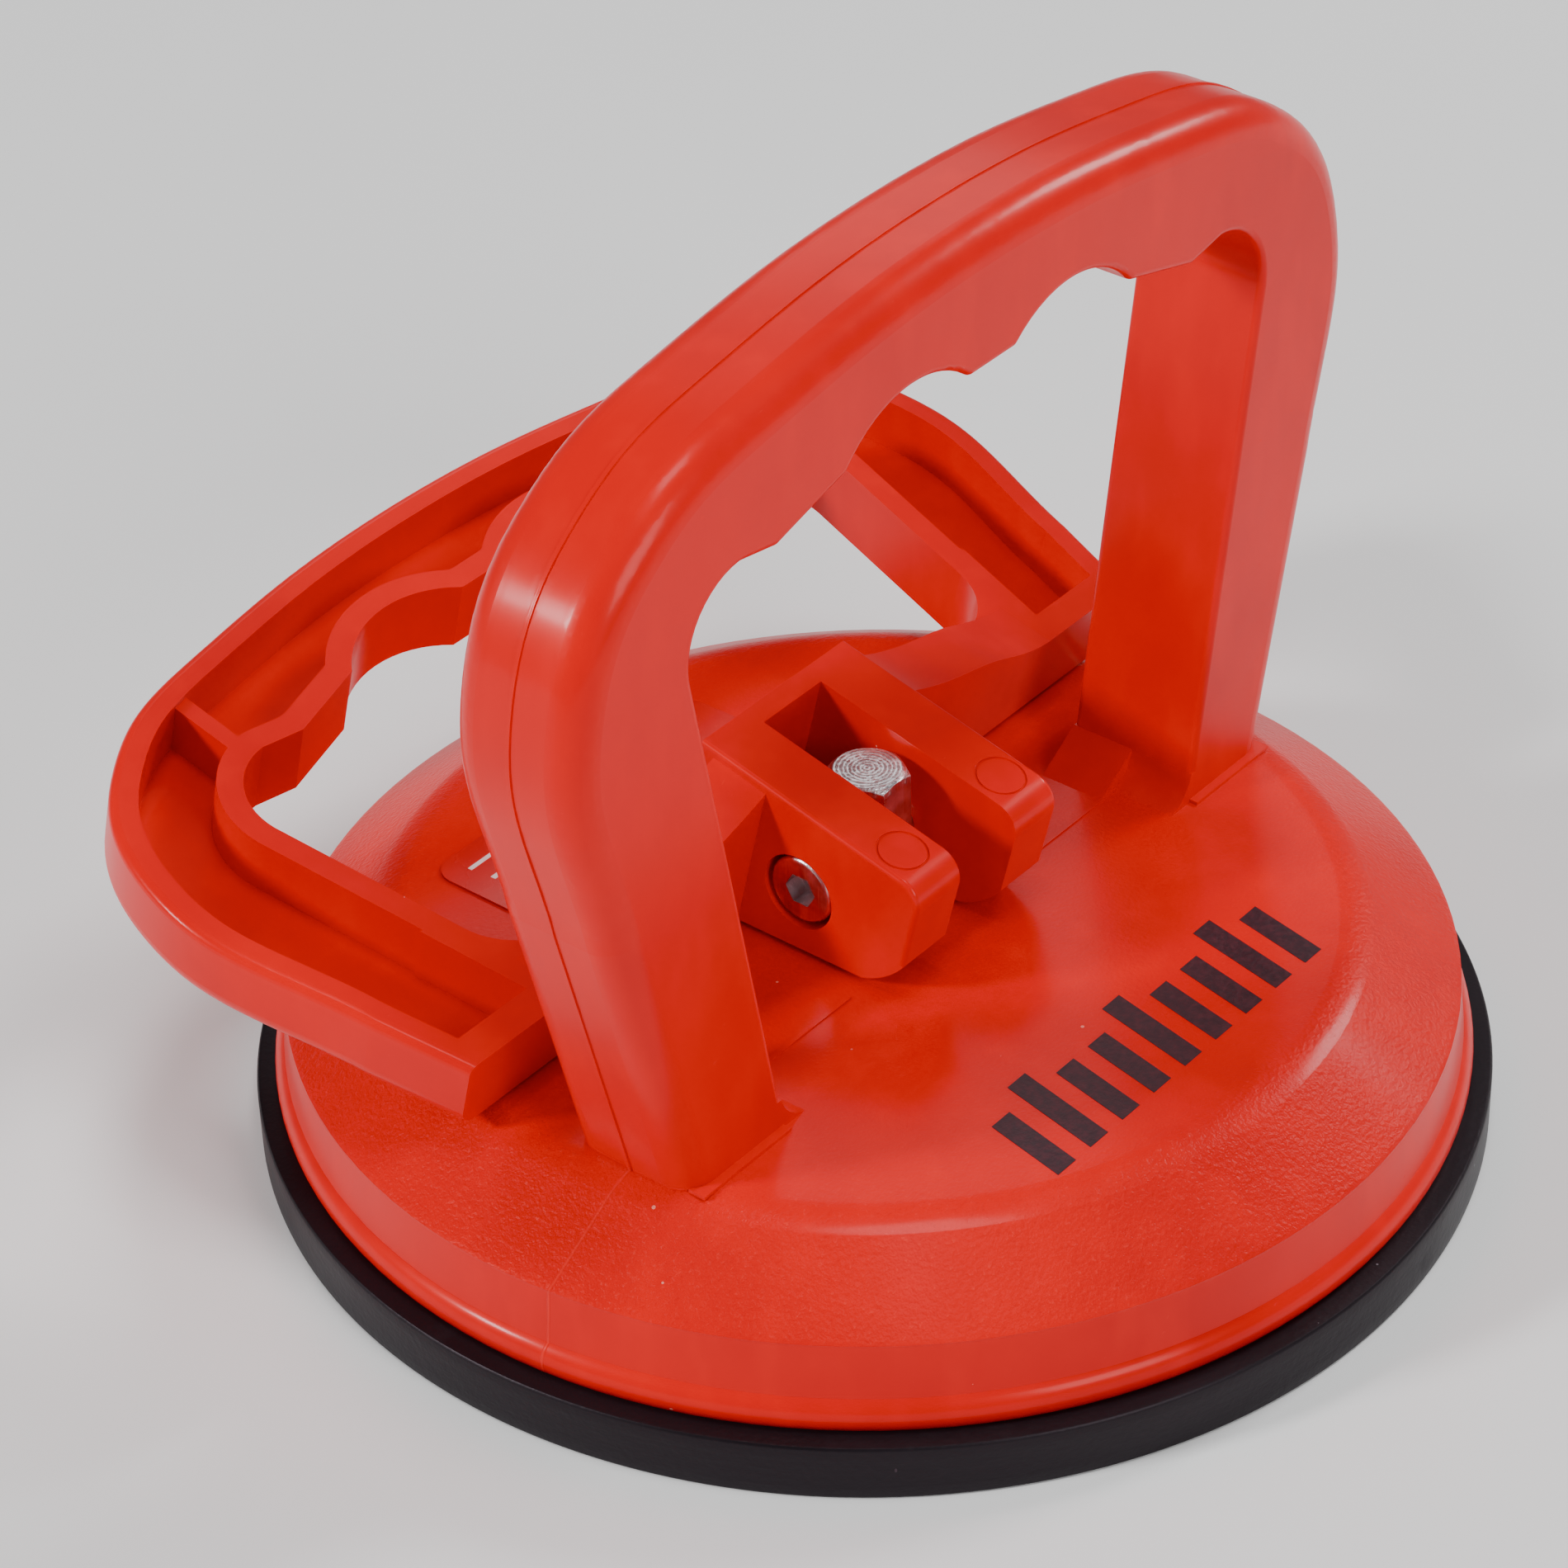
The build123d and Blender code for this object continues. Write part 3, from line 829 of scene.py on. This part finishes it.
@dataclass
class Lever:
    """The hinged loop with its pivot bolt, nut and locking ring."""

    def dress(self) -> None:
        """Paints the lever and its fasteners."""
        red = RedPlastic("red_lever", deep=(0.64, 0.0006, 0.001), body=(0.78, 0.0016, 0.001))
        paint("lever_handle", red.material())
        bolt = ZincSteel("bolt_steel", dark=(0.5, 0.47, 0.49), light=(0.86, 0.83, 0.85))
        steel = bolt.material()
        paint("pivot_bolt", steel)
        paint("pivot_nut", steel)
        paint("nut_lock_ring", Nylon().material())


@dataclass(frozen=True)
class SoftLight:
    """A square soft light: where it stands and its side in metres, and its power in watts."""

    name: str
    place: Point
    size: float
    power: float

    def add(self, lit_point: Point) -> None:
        """Adds the light, facing the given point."""
        data = bpy.data.lights.new(self.name, "AREA")
        data.shape = "SQUARE"
        data.size = self.size
        data.energy = self.power
        made = bpy.data.objects.new(self.name, data)
        made.location = self.place
        facing = Vector(lit_point) - Vector(self.place)
        made.rotation_euler = facing.to_track_quat("-Z", "Y").to_euler()
        bpy.context.scene.collection.objects.link(made)


@dataclass
class Studio:
    """Pale floor, soft lights and the camera."""

    aim: Point = (0.00019, 0.01032, 0.02965)
    azimuth: float = -49.73
    elevation: float = 35.24
    roll: float = -1.85
    distance: float = 0.45
    lens: float = 109.6
    floor_half: float = 2.0
    floor_depth: float = 0.01
    lit_point: Point = (0.0, 0.0, 0.04)
    room: float = 0.14
    lamps: tuple[SoftLight, ...] = (
        SoftLight("key", (-0.80, 0.50, 0.52), 0.15, 8.0),
        SoftLight("front", (-0.20, -1.00, 0.60), 0.45, 6.0),
        SoftLight("right", (0.86, -0.22, 0.66), 0.24, 5.0),
        SoftLight("card", (0.68, 0.57, 0.64), 0.4, 0.8),
        SoftLight("top", (-0.02, -0.12, 1.05), 0.30, 3.8),
    )

    def floor(self) -> None:
        """Lays the floor under the cup."""
        half = self.floor_half
        mesh = slab([rectangle(-half, half, -half, half)], -self.floor_depth, 0.0, "floor")
        made = add_object("floor", mesh, StudioFloor().material())

    def light(self) -> None:
        """Adds the soft lights and the even light of the room."""
        for lamp in self.lamps:
            lamp.add(self.lit_point)
        world = bpy.data.worlds.new("room")
        world.use_nodes = True
        background = world.node_tree.nodes["Background"]
        background.inputs["Color"].default_value = (1, 1, 1, 1)
        background.inputs["Strength"].default_value = self.room
        bpy.context.scene.world = world

    def camera(self) -> None:
        """Places the camera on its sphere round the aim point."""
        turn, rise = math.radians(self.azimuth), math.radians(self.elevation)
        back = Vector(
            (math.sin(turn) * math.cos(rise), -math.cos(turn) * math.cos(rise), math.sin(rise))
        )
        right = Vector((math.cos(turn), math.sin(turn), 0.0))
        up = back.cross(right)
        axes = Matrix((right, up, back)).transposed().to_4x4()
        data = bpy.data.cameras.new("camera")
        data.lens = self.lens
        data.sensor_width = 36.0
        made = bpy.data.objects.new("camera", data)
        place = Matrix.Translation(Vector(self.aim) + back * self.distance)
        made.matrix_world = place @ axes @ Matrix.Rotation(math.radians(self.roll), 4, "Z")
        bpy.context.scene.collection.objects.link(made)
        bpy.context.scene.camera = made

    def build(self) -> None:
        """Builds the studio."""
        self.floor()
        self.light()
        self.camera()
        LOG.info("studio ready")


def main() -> None:
    """Builds and dresses every sub-assembly in order."""
    logging.basicConfig(level=logging.INFO)
    dome = Dome()
    dome.dress()
    dome.build_mark()
    LabelPrint().build()
    RubberCup().build()
    PullStud().dress()
    Lever().dress()
    Studio().build()


if __name__ == "__main__":
    main()
